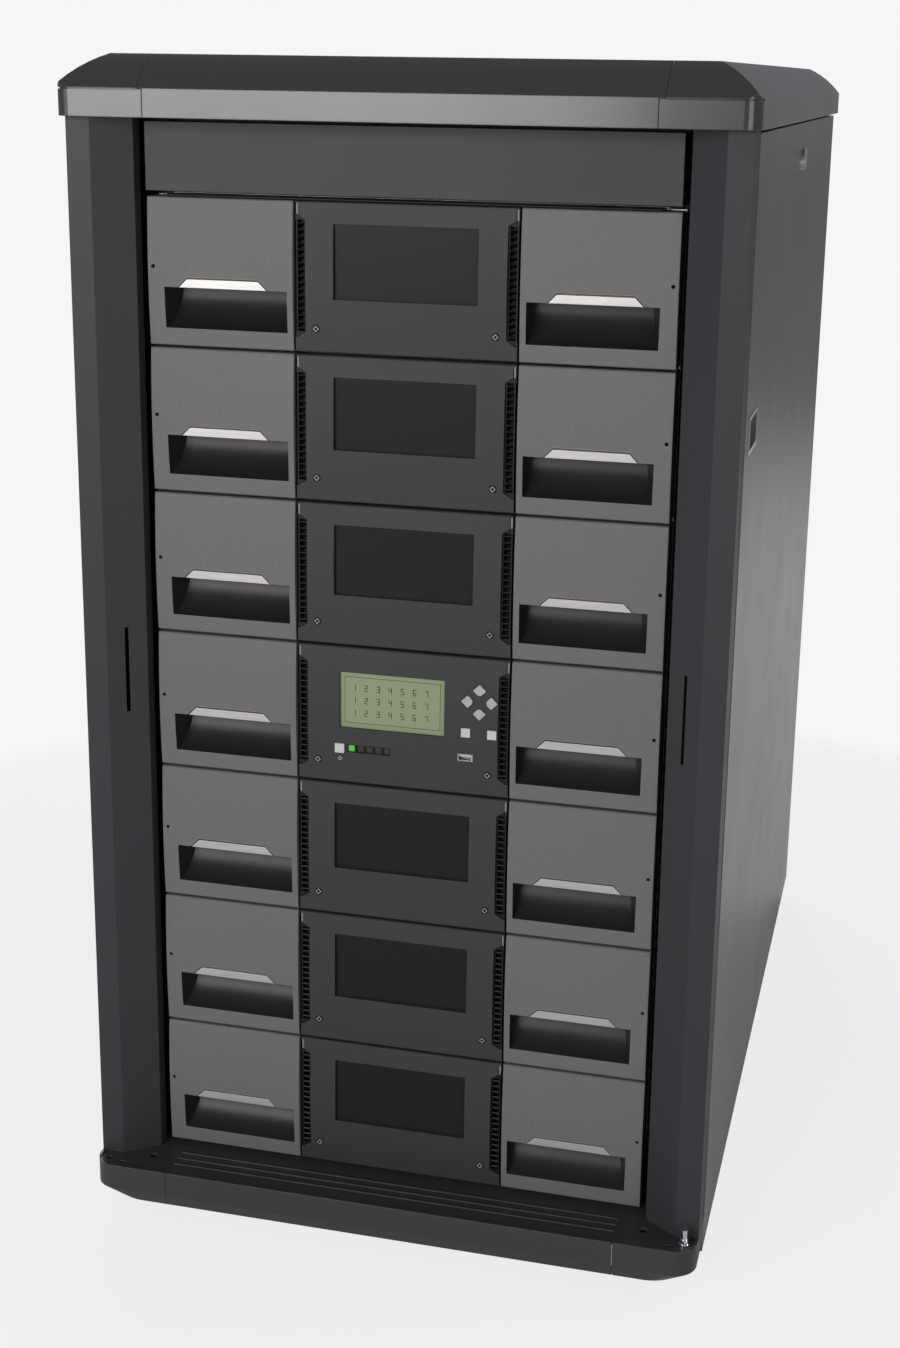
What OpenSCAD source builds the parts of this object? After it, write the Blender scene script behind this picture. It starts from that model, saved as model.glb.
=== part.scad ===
// Modular data tape library: seven stacked modules in a low floor cabinet that
// stands on levelling feet, with its front door off. Each module has two cartridge
// magazines that pull out at the front, and a picker robot rides up and down the
// well between them. Units are millimetres. +Z is up, the front faces -Y, and the
// origin lies on the floor under the middle of the overall box.

/* [Cabinet] */
// Width over the side panels
body_w = 596; // [580:1:730]
// Depth from the face of the front posts to the rear edge
body_d = 970; // [930:1:1200]
// Clear height under the plinth
foot_h = 20; // [16:1:40]
// Height of the plinth
plinth_h = 38; // [32:1:60]
// Height of the upright part of the plinth's face
plinth_face_h = 24; // [12:1:28]
// Set-back of the plinth's lower edge
plinth_taper = 8; // [2:1:14]
// Reach of the plinth in front of the posts
plinth_out = 27; // [24:1:60]
// Corner radius of the plinth, seen from above
plinth_r = 22; // [12:1:24]
// Height of the top cap
cap_h = 53; // [46:1:80]
// Reach of the cap in front of the posts
cap_out = 13; // [11:1:26]
// Reach of the cap past each side panel
cap_side = 5; // [0:0.5:8]
// Corner radius of the cap, seen from above
cap_corner = 14; // [6:1:20]
// Horizontal run of the cap's sloped shoulder
cap_run = 38; // [28:1:44]
// Rise of the cap's sloped shoulder
cap_rise = 29; // [20:1:30]
// Bulge of the shoulder over a straight slope
cap_bulge = 3; // [1:0.5:5]
// Clear width between the front posts
opening_w = 490; // [484:1:500]
// Width of a front post's flat face
post_face_w = 22; // [10:1:26]
// Depth of a front post
post_d = 36; // [32:1:50]
// Set-back of a front post's slanted face
post_bevel_d = 22; // [12:1:30]
// Sheet thickness of the folded frame parts
sheet = 2; // [1.5:0.1:2.4]
// Depth of a side panel's folded edge
panel_fold = 14; // [10:1:16]

/* [Modules] */
// Height of one module, three rack units
module_h = 133.35; // [112:0.05:170]
// Width of a module's face
module_w = 475; // [440:1:481]
// Width of the chassis behind the rack rails
chassis_w = 445; // [430:1:447]
// Set-back of the module faces behind the posts
face_recess = 30; // [26:1:60]
// Depth of a module behind its face
module_d = 850; // [830:1:870]
// Depth of a bezel in front of the rack rails
bezel_d = 30; // [28:1:40]
// Bulge of a bezel's face at mid-height
bezel_bulge = 2.5; // [0.5:0.1:3.5]
// Gap between the bezels of stacked modules
bezel_gap = 2.4; // [1.6:0.1:4]
// Width of a magazine's bezel
magazine_w = 135.5; // [132:0.5:140]
// Height of the blank header panel above the modules
header_h = 59; // [40:1:90]

/* [Magazine] */
// Length of a cartridge slot, front to back
slot_w = 106.4; // [103:0.1:108]
// Reach of a cartridge slot, in from the well
slot_deep = 108; // [100:0.5:109]
// Thickness of the magazine's ribs
rib = 3; // [2:0.1:4]
// Reach of the ledges that the cartridges rest on
ledge = 5; // [3:0.5:8]
// Width of the hand pocket
pocket_w = 115; // [90:1:118]
// Height of the hand pocket
pocket_h = 36.5; // [28:0.5:40]
// Depth of the hand pocket
pocket_d = 24; // [18:0.5:24]
// Draw-in of the hand pocket's outer end at its full depth
pocket_slope = 9; // [0:0.5:14]

/* [Front panel] */
// Width of a blank window
window_w = 130; // [100:1:140]
// Height of a blank window
window_h = 65; // [50:1:70]
// Width of the display opening
lcd_w = 100; // [80:1:104]
// Height of the display opening
lcd_h = 53.5; // [40:0.5:56]
// Side of a square key
key_size = 8.5; // [7:0.1:9.5]
// Distance of the arrow keys from the middle of their pad
pad_reach = 11; // [10.5:0.1:12.5]
// Travel of a key
key_travel = 1; // [0.5:0.1:1.2]
// Width of a vent grille
vent_w = 9.4; // [7:0.1:9.6]

/* [Hidden] */
MODULES = [1 : 7];
SIDES = [-1, 1];
FRAME_NODES = [
    "cabinet_frame", "plinth_trim", "cap_trim", "top_panel", "side_panel_left",
    "side_panel_right", "panel_hardware", "latch_left", "latch_right", "rack_rails",
    "header_panel", "door_hinge_pin", "levelling_feet"
];
MODULE_NODES = [
    "module_chassis", "centre_bezels", "control_bezel", "vent_grilles", "blank_windows",
    "lcd_display", "control_board", "tape_drives", "power_supplies", "robot_lift",
    "robot_shuttle", "robot_gripper"
];
KEY_NODES = [
    "key_up", "key_down", "key_left", "key_right", "key_back", "key_select", "power_button"
];
TRAY_NODES = [for (s = SIDES) for (i = MODULES) str("magazine_tray_", side_name(s), "_", i)];
BEZEL_NODES = [for (s = SIDES) for (i = MODULES) str("magazine_bezel_", side_name(s), "_", i)];

module_count = 7;
control_row = 4;            // the module that carries the control panel
fit = 0.3;                  // clearance between parts that are fastened together
slide_fit = 0.5;            // clearance under a part that slides
eps = 1;                    // overshoot of a cutting shape
fine = 96;                  // facets of a full circle in previews

// Places along Z
z_base = foot_h + plinth_h;             // top of the base plate
stack_gap = 3;
z_stack = z_base + stack_gap;           // underside of the lowest module
z_stack_top = z_stack + module_count * module_h;
header_gap = 4;
z_header = z_stack_top + header_gap;
z_top = z_header + header_h + header_gap;   // underside of the cap
total_h = z_top + cap_h;

// Places along X, on the right-hand side
half_w = body_w / 2;
post_x = opening_w / 2;                 // inner side of a front post
rail_x = 225;                           // inner edge of a rack rail
rail_w = 37;
panel_in = half_w - panel_fold;         // inner edge of a side panel
face_half = module_w / 2;
chassis_half = chassis_w / 2;
centre_half = face_half - magazine_w - 2;   // half width of the centre bezel
tray_gap = 2;
tray_out = chassis_half - sheet - tray_gap; // outer side of a magazine tray
tray_in = tray_out - slot_deep - rib;       // open side of a magazine tray
well_half = tray_in - 9.5;                  // half width of the robot's well

// Places along Y
y_post = plinth_out - (body_d + plinth_out) / 2;    // face of the front posts
y_rear = y_post + body_d;
y_plinth = y_post - plinth_out;
y_cap = y_post - cap_out;
y_face = y_post + face_recess;          // face of the bezels
y_rail = y_face + bezel_d;              // front of the rack ears
y_back = y_face + module_d;             // rear face of the chassis
chassis_d = y_back - y_rail;
drive_d = 205;
drive_h = 41;
drive_w = 146;
drive_count = 3;
y_well = y_rail + sheet + fit;          // front end of the robot's well
y_well_end = y_back - drive_d - 0.5;

// Bezels and magazines
wall = 2.5;
bezel_h = module_h - bezel_gap;
front_wall = 3;
face_chamfer = 1;
bulge_r = (bezel_h * bezel_h / 4 + bezel_bulge * bezel_bulge) / (2 * bezel_bulge);
magazine_bezel_d = bezel_d - 2;
tray_lift = sheet + slide_fit;          // underside of a tray's runners
runner_h = 3;
tray_h = module_h - 22;
tray_front_t = 6;
rows = 4;
column_pitch = slot_w + rib;
shuttle_l = slot_w + 5.6;               // the robot's cradle holds one cartridge
columns = 1 + floor((y_well_end - y_well - shuttle_l - 2) / column_pitch);
tray_l = columns * column_pitch + rib;
tray_y = y_face + magazine_bezel_d + tray_front_t;
y_robot = tray_y + tray_l / 2;          // middle column, the robot's home
row_pitch = (tray_h - rib) / rows;
pocket_x = 5.5;                         // from the bezel's inner end
pocket_z = 15.5;
pocket_lip = 1;
pocket_axis = (pocket_d * pocket_d - pocket_lip * pocket_lip - pocket_h * pocket_h)
    / (2 * (pocket_d - pocket_lip));
pocket_r = pocket_d - pocket_axis;
insert_w = pocket_w - 33;
insert_h = 7.5;
insert_x = pocket_x + 19;
insert_t = 3.2;
insert_reveal = 1.3;
release_r = 1.75;                       // emergency release hole
release_edge = 4.8;
release_drop = 61;

// Centre bezels, measured down from the top of the bezel
window_drop = 19;
lcd_drop = 23.5;
lcd_x = -60;
vent_drop = 11;
vent_rise = 13;
vent_corner = 5;
tongue_drop = 1.8;                      // top of the slit over a vent
pad_x = 73;
pad_drop = 40.5;
square_key_drop = 70.5;
square_key_x = [60.5, 85];
power_x = -59.5;
power_drop = 97;
power_size = 9;
led_x = -48.6;
led_pitch = 8.4;
led_size = 6.4;
led_count = 5;
usb_x = 60;
usb_drop = 95;
usb_w = 14;
usb_h = 6.6;
board_y = 12;                           // front of the circuit board behind the face
board_t = 1.6;
inner_face = bezel_bulge + front_wall;  // back of the front wall
key_gap = 0.4;
key_proud = 1.2;
key_flange = 1.5;
window_seat = 3.4;                      // front of a blank window behind the face
window_margin = 2.6;
lcd_seat = 3;
lcd_margin = 2.4;

// Cabinet details
post_back = y_post + post_d;
panel_y0 = post_back + 2;
panel_y1 = y_rear - 1;
panel_z0 = foot_h + 2;
panel_z1 = z_top - 3;
trim_wall = 3;
trim_end = panel_y0 - fit;              // rear end of the plinth's corner mouldings
base_t = 3;
corner_x = 221;                         // seams of the corner mouldings
seam = 0.6;
seam_step = 5;                          // offset of the seam where the cap's shoulder starts
cap_wall = 2.5;
cap_land = 6;                           // flat edge of the cap round the top panel
fascia_h = cap_h - cap_rise;
brace_x = rail_x + rail_w;
brace_h = 30;
brace_lip = 7;
rear_post_w = 40;
rear_post_y = y_rear - rear_post_w - cap_wall - fit;
channel_w = 56;
channel_x = panel_in - fit;             // outer side of a base channel
hinge_x = half_w - 12;
hinge_y = y_post - 12;
hinge_r = 2.75;
foot_x = channel_x - channel_w / 2;
foot_y = [y_post + 75, y_rear - 80];
foot_stud_r = 6;
anchor_x = 240;
anchor_y = 350;
anchor_r = 7;
latch_y = (panel_y0 + panel_y1) / 2;
latch_z = panel_z1 - 37;
latch_r = 6;
pull_y = y_post + 96;
pull_z = z_stack + 0.795 * module_count * module_h;
pull_w = 60;
pull_h = 30;
pull_d = 12;

// Power supplies
psu_w = 98;
psu_h = 40;
psu_x = 100;
psu_z = 14;
psu_d = min(180, y_back - tray_y - tray_l - 8);

// Robot
lift_z = z_stack + (module_count - control_row) * module_h + 12;
lift_h = 14;
column_w = 7;
column_d = 4;
tooth_h = 3;
teeth = 21;
lift_x = well_half - 1.5;
lift_nose_x = well_half - column_w - 1.5;
lift_y0 = y_well + 1.5;
lift_y1 = y_well_end - 0.8;
shuttle_h = 18;
shuttle_x = lift_x - 12;
shuttle_z = lift_z + lift_h + slide_fit;
gripper_h = 46;
gripper_x = 60;

function side_name(s) = s < 0 ? "left" : "right";
function module_z(i) = z_stack + (module_count - i) * module_h;

// Children are drawn for the right-hand side and mirrored to the left
module on_side(s) {
    if (s > 0) children();
    else mirror([1, 0, 0]) children();
}

// A flat profile in Y and Z, drawn out along X
module along_x(length) {
    rotate([90, 0, 90]) linear_extrude(length) children();
}

// A flat profile in X and Z, drawn out along Y
module along_y(length) {
    translate([0, length, 0]) rotate([90, 0, 0]) linear_extrude(length) children();
}

// ---- Cabinet -------------------------------------------------------------------

// Plan with rounded front corners, back to the cabinet's rear edge
module front_plan(w, y0, r) {
    for (s = SIDES) translate([s * (w - r), y0 + r]) circle(r, $fn = fine);
    translate([-(w - r), y0]) square([2 * (w - r), r + eps]);
    translate([-w, y0 + r]) square([2 * w, y_rear - y0 - r]);
}

module base_plan(inset, r) {
    front_plan(half_w - inset, y_plinth + inset, r);
}

module post_plan() {
    polygon([
        [post_x, post_d], [post_x, post_bevel_d], [half_w - post_face_w, 0],
        [half_w, 0], [half_w, post_d]
    ]);
}

// A hollow front post with the slot of the door's striker in its slanted face
module front_post() {
    slot_w = 3.8;
    bevel_run = half_w - post_face_w - post_x;
    difference() {
        translate([0, y_post, z_base + fit]) linear_extrude(z_top - z_base - 2 * fit)
            difference() {
                post_plan();
                offset(delta = -sheet) post_plan();
            }
        translate([post_x + bevel_run / 2, y_post + post_bevel_d / 2, (z_base + z_top) / 2])
            rotate([0, 0, -atan(post_bevel_d / bevel_run)])
                cube([slot_w, 3 * sheet, 82], center = true);
    }
}

module rear_post() {
    translate([panel_in - rear_post_w, rear_post_y, z_base + fit])
        linear_extrude(z_top - z_base - 2 * fit) difference() {
            square(rear_post_w);
            translate([sheet, sheet]) square(rear_post_w - 2 * sheet);
        }
}

// Floor sheet with the cable opening, small holes in its front corners and three treads
module base_plate() {
    opening_reach = 160;
    opening_half = 180;
    translate([0, 0, z_base - base_t]) linear_extrude(base_t) difference() {
        union() {
            intersection() {
                base_plan(trim_wall + fit, plinth_r - trim_wall - fit);
                translate([-half_w, y_plinth]) square([body_w, trim_end - y_plinth]);
            }
            translate([-channel_x, trim_end - eps])
                square([2 * channel_x, y_rear - trim_end + eps]);
        }
        for (s = SIDES) {
            translate([s * (half_w - 52), y_post + 3]) circle(4, $fn = fine);
            translate([s * (half_w - 28), y_post - 16]) square([8, 3], center = true);
        }
        translate([-hinge_x, hinge_y]) circle(3, $fn = fine);
        translate([-opening_half, y_post + opening_reach])
            square([2 * opening_half, body_d - 2 * opening_reach]);
    }
    tread_pitch = 10.5;
    for (k = [0 : 2]) translate([-220, y_post - 7 + k * tread_pitch, z_base - fit])
        cube([440, 1.6, 1 + fit]);
}

// Base channel that carries two feet, with the bolt-down holes in its web
module base_channel() {
    web_t = 4;
    y0 = trim_end + fit;
    h = plinth_h - base_t - fit;
    difference() {
        translate([channel_x - channel_w, y0, foot_h]) along_y(y_rear - y0) difference() {
            square([channel_w, h]);
            translate([base_t, web_t]) square([channel_w - 2 * base_t, h]);
        }
        for (y = foot_y) translate([foot_x, y, foot_h - eps])
            cylinder(r = foot_stud_r + fit, h = web_t + 2 * eps, $fn = fine);
        for (y = [-anchor_y, anchor_y]) translate([anchor_x, y, foot_h - eps])
            cylinder(r = anchor_r, h = web_t + 2 * eps, $fn = fine);
    }
}

// Beams across the base, between the two channels
module base_beams() {
    beam_half = channel_x - channel_w - fit;
    for (y = [trim_end + fit, y_rear - base_t]) translate([-beam_half, y, foot_h])
        cube([2 * beam_half, base_t, plinth_h - base_t - fit]);
}

// Lipped channels along each side, which the side panels lie against and lock into,
// under a plain tube along the top
module side_braces() {
    brace_w = panel_in - brace_x;
    brace_l = rear_post_y - post_back - 2 * fit;
    tube_h = 20;
    for (z = [z_base + fit, (z_base + z_top - brace_h) / 2, latch_z - brace_h / 2])
        translate([brace_x, post_back + fit, z]) along_y(brace_l) difference() {
            square([brace_w, brace_h]);
            translate([sheet, sheet]) square([brace_w - 2 * sheet, brace_h - 2 * sheet]);
            translate([sheet, brace_lip]) square([brace_w, brace_h - 2 * brace_lip]);
        }
    translate([brace_x, post_back + fit, z_top - fit - tube_h]) along_y(brace_l) difference() {
        square([brace_w, tube_h]);
        translate([sheet, sheet]) square([brace_w - 2 * sheet, tube_h - 2 * sheet]);
    }
}

// Plate over the posts and the beam between the rear posts
module frame_top() {
    plate_in = cap_wall + fit;
    beam_half = panel_in - rear_post_w - fit;
    beam_z = z_stack_top + 8;
    plate_half = half_w + cap_side - plate_in;
    plate_y0 = y_cap + plate_in + cap_corner;
    difference() {
        translate([-plate_half, plate_y0, z_top])
            cube([2 * plate_half, y_rear - plate_in - plate_y0, sheet]);
        for (s = SIDES) for (y = [y_post + 180, y_rear - 180])
            translate([s * 120, y, z_top - eps]) cylinder(r = 12, h = sheet + 2 * eps, $fn = fine);
    }
    translate([-(half_w - post_face_w), y_cap + plate_in, z_top])
        cube([2 * (half_w - post_face_w), cap_corner - fit, sheet]);
    translate([-beam_half, rear_post_y, beam_z])
        cube([2 * beam_half, sheet, z_top - fit - beam_z]);
}

// Frame bolted together from folded parts
module cabinet_frame() color("#2b2d33") {
    for (s = SIDES) on_side(s) {
        front_post();
        rear_post();
        side_braces();
        base_channel();
    }
    base_plate();
    base_beams();
    frame_top();
}

// Kick moulding: an upright face with a lower part that draws in all round
module plinth_shape(inset) {
    low_r = 40;
    translate([0, 0, z_base - plinth_face_h]) linear_extrude(plinth_face_h + 1)
        base_plan(inset, plinth_r - inset);
    hull() {
        translate([0, 0, z_base - plinth_face_h]) linear_extrude(0.01)
            base_plan(inset, plinth_r - inset, $fn = 32);
        translate([0, 0, foot_h - (inset > 0 ? eps : 0)]) linear_extrude(0.01)
            base_plan(inset + plinth_taper, low_r - inset, $fn = 32);
    }
}

// Three pieces: the front and two corners, with a raised rim round the base plate
module plinth_trim() color("#3a3b3b") difference() {
    plinth_shape(0);
    plinth_shape(trim_wall);
    translate([-body_w, trim_end, 0]) cube([2 * body_w, body_d, z_base + 2]);
    translate([-body_w, y_post - fit, z_base]) cube([2 * body_w, body_d, 2]);
    translate([-half_w + trim_wall, y_plinth + trim_wall, z_base])
        cube([body_w - 2 * trim_wall, body_d, 3]);
    for (s = SIDES) translate([s * corner_x - seam / 2, y_plinth - eps, 0])
        cube([seam, trim_end - y_plinth, z_base + 2]);
}

// Section of the cap across X or Y: upright fascia, sloped and slightly bulged shoulder
module cap_section(w, inset) {
    chord = sqrt(cap_run * cap_run + cap_rise * cap_rise);
    r = (chord * chord / 4 + cap_bulge * cap_bulge) / (2 * cap_bulge);
    centre_x = w - cap_run / 2 - (r - cap_bulge) * cap_rise / chord;
    centre_z = cap_h - cap_rise / 2 - (r - cap_bulge) * cap_run / chord;
    translate([-(w - cap_run), 0]) square([2 * (w - cap_run), cap_h - inset]);
    for (s = SIDES) intersection() {
        translate([s * centre_x, centre_z]) circle(r - inset, $fn = 8 * fine);
        translate([s > 0 ? w - cap_run - eps : -(w - inset), 0])
            square([cap_run - inset + eps, cap_h - inset]);
    }
}

// Outline of the cap seen from above, its front corners cut to short flats
module cap_plan(inset) {
    steps = 6;
    w = half_w + cap_side - inset;
    r = cap_corner - inset;
    y0 = y_cap + inset;
    polygon(concat(
        [for (k = [0 : steps]) [w - r + r * sin(90 * k / steps), y0 + r - r * cos(90 * k / steps)]],
        [[w, y_rear], [-w, y_rear]],
        [for (k = [0 : steps]) [r - w - r * cos(90 * k / steps), y0 + r - r * sin(90 * k / steps)]]
    ));
}

module cap_solid(inset) {
    cap_half_d = y_rear - y_cap;
    intersection() {
        translate([0, y_cap + inset, z_top]) along_y(cap_half_d - 2 * inset)
            cap_section(half_w + cap_side, inset);
        translate([-half_w - 2 * cap_side, y_rear, z_top]) along_x(body_w + 4 * cap_side)
            cap_section(cap_half_d, inset);
        translate([0, 0, z_top]) linear_extrude(cap_h) cap_plan(inset);
    }
}

// Narrow groove between the fascia and the shoulder of a corner piece
module cap_groove() {
    groove_h = 1.2;
    groove_d = 1.5;
    w = half_w + cap_side;
    translate([0, 0, z_top + fascia_h - groove_h]) intersection() {
        linear_extrude(groove_h) difference() {
            cap_plan(-eps);
            cap_plan(groove_d);
        }
        translate([corner_x + seam_step, y_cap - 2 * eps, -eps])
            cube([w, cap_corner + 6, groove_h + 2 * eps]);
    }
}

// Three pieces: the front, and two corners that run on along the sides. The seams step
// outwards where the shoulder starts.
module cap_trim() color("#454644") difference() {
    flat_x = half_w + cap_side - cap_run - cap_land;
    flat_y = y_cap + cap_run + cap_land;
    seam_l = cap_run + cap_land + 4;
    cap_solid(0);
    cap_solid(cap_wall);
    translate([-flat_x, flat_y, z_top - eps]) cube([2 * flat_x, body_d, cap_h + 2]);
    for (s = SIDES) on_side(s) {
        translate([corner_x - seam / 2, y_cap - eps, z_top - eps])
            cube([seam, seam_l, fascia_h + eps]);
        translate([corner_x - seam / 2, y_cap - eps, z_top + fascia_h - seam])
            cube([seam_step + seam, seam_l, seam]);
        translate([corner_x + seam_step - seam / 2, y_cap - eps, z_top + fascia_h - seam])
            cube([seam, seam_l, cap_rise + 2]);
        cap_groove();
    }
}

// Flat panel inside the cap's mouldings, with two fields of vent slots
module top_panel() color("#4a4b4a") {
    flat_x = half_w + cap_side - cap_run - cap_land - fit;
    flat_y = y_cap + cap_run + cap_land + fit;
    difference() {
        translate([-flat_x, flat_y, total_h - sheet]) cube([2 * flat_x, y_rear - flat_y, sheet]);
        for (s = SIDES) for (k = [0 : 13])
            translate([s * 110 - 60, (flat_y + y_rear) / 2 + (k - 7) * 16, total_h - sheet - eps])
                cube([120, 6, sheet + 2]);
    }
    // flanges that stand on the plate below
    flange_z = z_top + sheet + fit;
    translate([-flat_x, y_rear - sheet, flange_z]) cube([2 * flat_x, sheet, total_h - flange_z]);
    for (s = SIDES) on_side(s) translate([flat_x - sheet, flat_y, flange_z])
        cube([sheet, y_rear - flat_y, total_h - flange_z]);
}

// Folded sheet panel with the latch hole and the pull's cut-out
module side_panel() {
    skin = 1.5;
    difference() {
        translate([panel_in, panel_y0, panel_z0])
            cube([panel_fold, panel_y1 - panel_y0, panel_z1 - panel_z0]);
        translate([panel_in - eps, panel_y0 + skin, panel_z0 + skin])
            cube([panel_fold + eps - skin, panel_y1 - panel_y0 - 2 * skin,
                panel_z1 - panel_z0 - 2 * skin]);
        translate([half_w - panel_fold, latch_y, latch_z]) rotate([0, 90, 0])
            cylinder(r = latch_r + 2, h = panel_fold + eps, $fn = fine);
        translate([half_w - 3, pull_y - pull_w / 2 - fit, pull_z - pull_h / 2 - fit])
            cube([5, pull_w + 2 * fit, pull_h + 2 * fit]);
    }
}

module side_panel_left() color("#3f4043") on_side(-1) side_panel();
module side_panel_right() color("#3f4043") on_side(1) side_panel();

// Oval latch plate and flush pull of one side panel
module latch_plate() {
    plate_t = 2.5;
    plate_r = 11;
    difference() {
        translate([half_w, latch_y, latch_z]) rotate([0, 90, 0]) linear_extrude(plate_t) {
            for (s = SIDES) translate([0, s * 9]) circle(plate_r, $fn = fine);
            translate([-plate_r, -9]) square([2 * plate_r, 18]);
        }
        translate([half_w - eps, latch_y, latch_z]) rotate([0, 90, 0])
            cylinder(r = latch_r + key_gap, h = 5, $fn = fine);
    }
}

module pull_cup() {
    lip = 2;
    difference() {
        union() {
            translate([half_w, pull_y - pull_w / 2 - lip, pull_z - pull_h / 2 - lip])
                cube([1.2, pull_w + 2 * lip, pull_h + 2 * lip]);
            translate([half_w - pull_d, pull_y - pull_w / 2, pull_z - pull_h / 2])
                cube([pull_d + 1, pull_w, pull_h]);
        }
        translate([half_w - pull_d + 1.5, pull_y - pull_w / 2 + 1.5, pull_z - pull_h / 2 + 1.5])
            cube([pull_d, pull_w - 3, pull_h - 3]);
    }
}

module panel_hardware() color("#c9cbce") for (s = SIDES) on_side(s) {
    latch_plate();
    pull_cup();
}

// Keyed cam lock that holds a side panel: its cam turns up behind the brace's lip
module latch() {
    cam_t = 2.5;
    cam_x = panel_in - sheet - 1 - cam_t;
    latch_end = half_w + 2.9;
    translate([cam_x, latch_y, latch_z]) difference() {
        rotate([0, 90, 0]) cylinder(r = latch_r, h = latch_end - cam_x, $fn = fine);
        translate([latch_end - cam_x - 2.5, -0.6, -4]) cube([4, 1.2, 8]);
    }
    translate([cam_x, latch_y - 5, latch_z - 5]) cube([cam_t, 10, brace_h / 2 + 2]);
}

module latch_left() color("#d8d9db") on_side(-1) latch();
module latch_right() color("#d8d9db") on_side(1) latch();

// One rack rail: flange with three square holes per rack unit, and its side web
module rack_rail(height) {
    hole = 9.5;
    unit = 44.45;
    rail_t = 2.5;
    along_y(rail_t) difference() {
        translate([rail_x, 0]) square([rail_w, height]);
        for (u = [0 : floor(height / unit) - 1]) for (z = [6.35, 22.225, 38.1])
            translate([rail_x + 7.5, u * unit + z - hole / 2]) square(hole);
    }
    translate([rail_x + rail_w - rail_t, 0, 0]) cube([rail_t, 38, height]);
}

module rack_rails() color("#24262b") for (s = SIDES) on_side(s) {
    rail_h = z_top - z_stack - fit;
    y_front = y_rail + sheet;
    y_end = rear_post_y - fit;
    support_t = 1.9;
    translate([0, y_front, z_base + fit]) rack_rail(rail_h);
    translate([0, y_end, z_base + fit]) mirror([0, 1, 0]) rack_rail(rail_h);
    translate([rail_x - fit - support_t, y_front, z_stack - 2 - fit])
        cube([support_t, y_end - y_front, 42]);
    translate([rail_x - 28, y_front, z_stack - 2 - fit]) cube([28 - fit, y_end - y_front, 2]);
}

module header_panel() color("#4b4c4a") {
    depth = bezel_d + sheet;
    translate([-face_half, y_face, z_header]) difference() {
        cube([module_w, depth, header_h]);
        translate([sheet, sheet, sheet]) cube([module_w - 2 * sheet, depth, header_h - 2 * sheet]);
    }
}

module door_hinge_pin() color("#dfe2e4") translate([hinge_x, hinge_y, z_base]) {
    cylinder(r = 5.2, h = 3, $fn = fine);
    translate([0, 0, 3]) cylinder(r = 4.2, h = 4, $fn = fine);
    translate([0, 0, 7]) cylinder(r = hinge_r, h = 10, $fn = fine);
}

module levelling_feet() color("#8d9094") for (s = SIDES) for (y = foot_y)
    translate([s * foot_x, y, 0]) {
        rotate_extrude($fn = fine)
            polygon([
                [0, 0], [24, 0], [25, 2], [25, 5], [22, 8], [8, 10], [8, foot_h - 8], [0, foot_h - 8]
            ]);
        translate([0, 0, foot_h - 8]) cylinder(r = 10.5, h = 8, $fn = 6);
        translate([0, 0, foot_h - 4]) cylinder(r = foot_stud_r, h = plinth_h - 8, $fn = fine);
    }

// ---- Module chassis ------------------------------------------------------------

// Toothed column for the lift's pinions; the teeth face along +Y
module toothed_column() {
    h = module_h - fit;
    along_x(column_w) polygon(concat(
        [[0, 0]],
        [for (k = [0 : teeth - 1]) for (p = [[0, 0.1], [tooth_h, 0.3], [tooth_h, 0.6], [0, 0.8]])
            [column_d + p[0], (k + p[1]) * h / teeth]],
        [[column_d, h], [0, h]]
    ));
}

module rear_strip(x0, x1, z0, z1) {
    translate([x0, 0, z0]) cube([x1 - x0, sheet, z1 - z0]);
}

// Rear wall: strips round the drive and power supply openings in the control module, a sheet
// with vents in the rest
module chassis_rear(i) {
    h = module_h - fit;
    drive_half = drive_w / 2 + fit;
    psu_x0 = -psu_x - psu_w - fit;
    psu_x1 = -psu_x + fit;
    translate([0, chassis_d - sheet, 0]) if (i == control_row) {
        rear_strip(-chassis_half, psu_x0, 0, h);
        rear_strip(psu_x0 + fit, psu_x1 - fit, 0, psu_z - fit);
        rear_strip(psu_x0 + fit, psu_x1 - fit, psu_z + 2 * psu_h + 2 * fit, h);
        rear_strip(psu_x1, -drive_half, 0, h);
        rear_strip(fit - drive_half, drive_half - fit, sheet + drive_count * drive_h + 4, h);
        rear_strip(drive_half, chassis_half, 0, h);
    } else along_y(sheet) difference() {
        translate([-chassis_half, 0]) square([chassis_w, h]);
        for (s = SIDES) for (k = [0 : 8]) translate([s * 150 - 32 + k * 8, 30]) square([3.5, 70]);
        for (z = [20, 110]) translate([-drive_w / 2, z]) square([drive_w, 3]);
    }
}

// Front sheet behind the centre bezel, with four rows of air slots
module chassis_front() {
    h = module_h - fit;
    along_y(sheet) difference() {
        translate([-centre_half, 0]) square([2 * centre_half, h]);
        for (x = [-80 : 10 : 80]) for (z = [16, 44, 72, 100]) translate([x - 2, z]) square([4, 20]);
    }
}

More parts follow.
